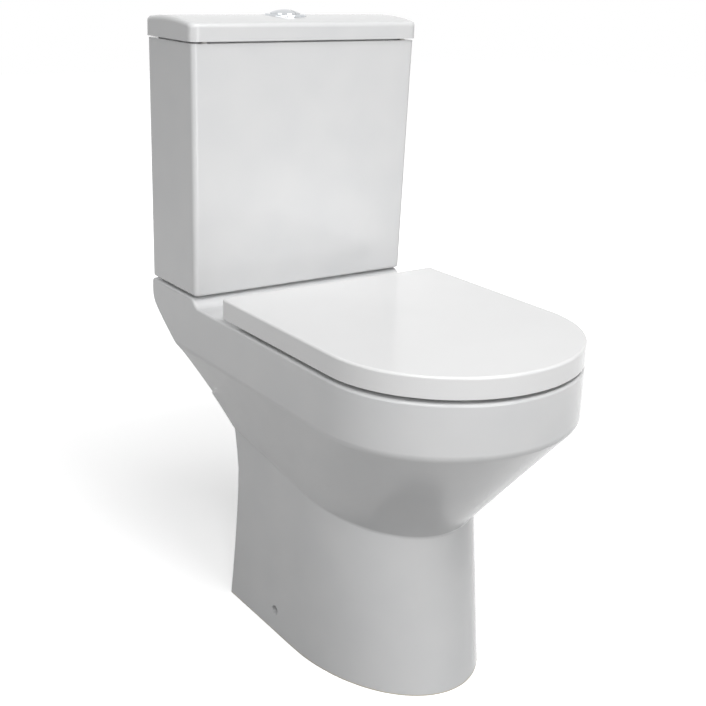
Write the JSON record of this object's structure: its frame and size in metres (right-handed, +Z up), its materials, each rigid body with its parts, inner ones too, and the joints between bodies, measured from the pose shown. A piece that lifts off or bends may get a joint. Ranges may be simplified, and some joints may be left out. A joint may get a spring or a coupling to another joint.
{
  "type": "close coupled toilet",
  "caption": "Close coupled toilet: flared open-backed china pan with trapway and rear outlet, cistern with lift-off lid, push-button flush and fill valves, hinged seat ring and lid.",
  "frame": {"origin": "on the floor, under the middle of the overall length and width", "axes": "+Z up, +X to the right seen from the front, the front faces -Y, the wall is at the +Y end"},
  "size_m": [0.363, 0.6004, 0.8195],
  "materials": {
    "vitreous_china": "white gloss glaze over vitreous china",
    "seat_thermoset": "white moulded urea thermoset, polished",
    "seat_buffer": "soft translucent white elastomer",
    "chrome_plate": "bright chrome plate",
    "steel": "plain stainless steel",
    "black_rubber": "matt black sealing rubber",
    "white_plastic": "satin injection moulded plastic",
    "grey_plastic": "satin injection moulded plastic"
  },
  "bodies": {
    "suite": {"pan": "vitreous_china", "cistern_tank": "vitreous_china", "flush_valve_seal": "black_rubber", "flush_valve_base": "white_plastic", "flush_valve_backnut": "white_plastic", "coupling_seal": "black_rubber", "flush_valve_cage": "white_plastic", "lever_pins": "steel", "fill_valve_seal": "black_rubber", "fill_valve_body": "white_plastic", "service_nuts": "white_plastic", "fill_valve_cap": "white_plastic", "float_arm_pin": "steel", "plug_seal": "black_rubber", "blanking_plug": "white_plastic", "coupling_bolts": "steel", "coupling_bolt_seals": "black_rubber", "coupling_pads": "black_rubber", "coupling_washers": "steel", "coupling_wing_nuts": "white_plastic", "hinge_gaskets": "seat_buffer", "hinge_posts": "chrome_plate", "hinge_pins": "steel", "seat_bolts": "steel", "seat_bolt_washers": "black_rubber", "seat_wing_nuts": "white_plastic"},
    "cistern_lid": {"cistern_lid": "vitreous_china", "lid_pads": "seat_buffer", "button_bezel": "chrome_plate", "button_gasket": "black_rubber", "button_nut": "white_plastic", "spring_full": "steel", "spring_half": "steel"},
    "button_full": {"button_full": "chrome_plate", "push_rod_full": "white_plastic"},
    "button_half": {"button_half": "chrome_plate", "push_rod_half": "white_plastic"},
    "lever_full": {"lever_full": "white_plastic"},
    "lever_half": {"lever_half": "white_plastic"},
    "half_lifter": {"half_lifter": "white_plastic"},
    "flush_stem": {"flush_stem": "grey_plastic", "flush_seal": "black_rubber", "stem_float": "grey_plastic", "stem_crosshead": "white_plastic"},
    "fill_float": {"fill_float": "grey_plastic", "float_link": "white_plastic"},
    "float_arm": {"float_arm": "white_plastic"},
    "seat_ring": {"seat_ring": "seat_thermoset", "ring_buffers": "seat_buffer"},
    "seat_lid": {"seat_lid": "seat_thermoset", "lid_buffers": "seat_buffer"}
  },
  "joints": [
    {"name": "seat_ring_hinge", "type": "hinge", "parent": "suite", "child": "seat_ring", "pos_m": [0, 0.0887, 0.4505], "axis": [1, 0, 0], "range_deg": [-98, 0]},
    {"name": "seat_lid_hinge", "type": "hinge", "parent": "seat_ring", "child": "seat_lid", "pos_m": [0, 0.0887, 0.4505], "axis": [-1, 0, 0], "range_deg": [0, 98]},
    {"name": "cistern_lid_lift", "type": "slide", "parent": "suite", "child": "cistern_lid", "axis": [0, 0, 1], "range_m": [0, 0.06]},
    {"name": "button_full_press", "type": "slide", "parent": "cistern_lid", "child": "button_full", "axis": [0, 0, -1], "range_m": [0, 0.006], "stiffness_N_per_m": 700, "springref_m": -0.006, "deforming": ["spring_full"]},
    {"name": "button_half_press", "type": "slide", "parent": "cistern_lid", "child": "button_half", "axis": [0, 0, -1], "range_m": [0, 0.006], "stiffness_N_per_m": 700, "springref_m": -0.006, "deforming": ["spring_half"]},
    {"name": "lever_full_rock", "type": "hinge", "parent": "suite", "child": "lever_full", "pos_m": [-0.029, 0.2342, 0.69], "axis": [0, 1, 0], "range_deg": [0, 26.6]},
    {"name": "lever_half_rock", "type": "hinge", "parent": "suite", "child": "lever_half", "pos_m": [0.029, 0.2342, 0.69], "axis": [0, -1, 0], "range_deg": [0, 26.6]},
    {"name": "half_lift", "type": "slide", "parent": "suite", "child": "half_lifter", "axis": [0, 0, 1], "range_m": [0, 0.0121]},
    {"name": "stem_rise", "type": "slide", "parent": "half_lifter", "child": "flush_stem", "axis": [0, 0, 1], "range_m": [0, 0.0121]},
    {"name": "float_slide", "type": "slide", "parent": "suite", "child": "fill_float", "axis": [0, 0, 1], "range_m": [-0.012, 0]},
    {"name": "float_arm_rock", "type": "hinge", "parent": "suite", "child": "float_arm", "pos_m": [0.142, 0.2342, 0.762], "axis": [0, 1, 0], "range_deg": [-18.6, 0]}
  ],
  "couplings": [
    {"joint": "lever_full_rock", "follows": "button_full_press", "rad_per_m": 76.759},
    {"joint": "stem_rise", "follows": "button_full_press", "ratio": 2},
    {"joint": "lever_half_rock", "follows": "button_half_press", "rad_per_m": 76.759},
    {"joint": "half_lift", "follows": "button_half_press", "ratio": 2},
    {"joint": "float_arm_rock", "follows": "float_slide", "rad_per_m": 26.774}
  ]
}
